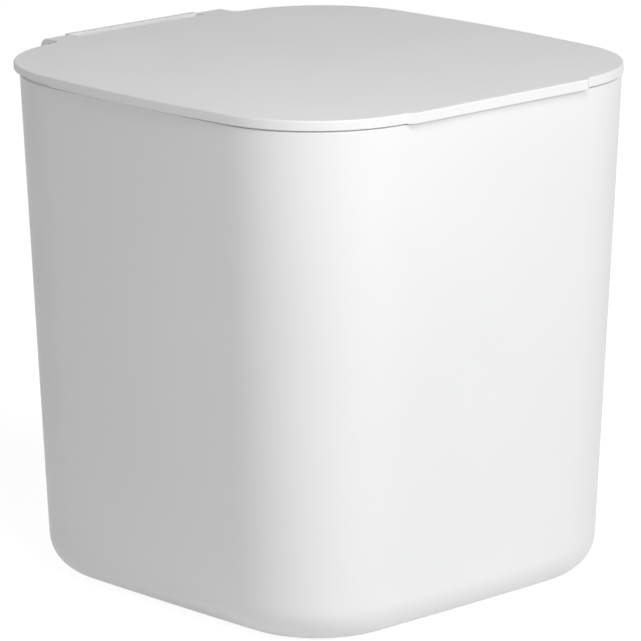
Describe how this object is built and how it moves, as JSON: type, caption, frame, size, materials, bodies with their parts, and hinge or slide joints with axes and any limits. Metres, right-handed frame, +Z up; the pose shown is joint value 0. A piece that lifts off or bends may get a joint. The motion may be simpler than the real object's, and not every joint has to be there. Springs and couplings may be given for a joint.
{
  "type": "countertop trash can with swing lid",
  "caption": "Small square tapered countertop bin with a flat lid hinged at the rear, a thumb tab at the front and rubber feet.",
  "frame": {"origin": "on the counter, under the middle of the body, at the level of the feet's undersides", "axes": "+X along the hinge towards the viewer's right, +Y from the thumb tab at the front to the hinge at the rear, +Z up"},
  "size_m": [0.15, 0.1597, 0.155],
  "materials": {
    "white_plastic": "satin moulded plastic",
    "pin_steel": "bright drawn wire",
    "foot_rubber": "matte"
  },
  "bodies": {
    "bin": {"body": "white_plastic", "foot_front_left": "foot_rubber", "foot_front_right": "foot_rubber", "foot_rear_left": "foot_rubber", "foot_rear_right": "foot_rubber"},
    "cover": {"lid": "white_plastic", "hinge_pin_left": "pin_steel", "hinge_pin_right": "pin_steel"}
  },
  "joints": [
    {"name": "lid_hinge", "type": "hinge", "parent": "bin", "child": "cover", "pos_m": [0, 0.0801, 0.152], "axis": [-1, 0, 0], "range_deg": [0, 100]}
  ]
}
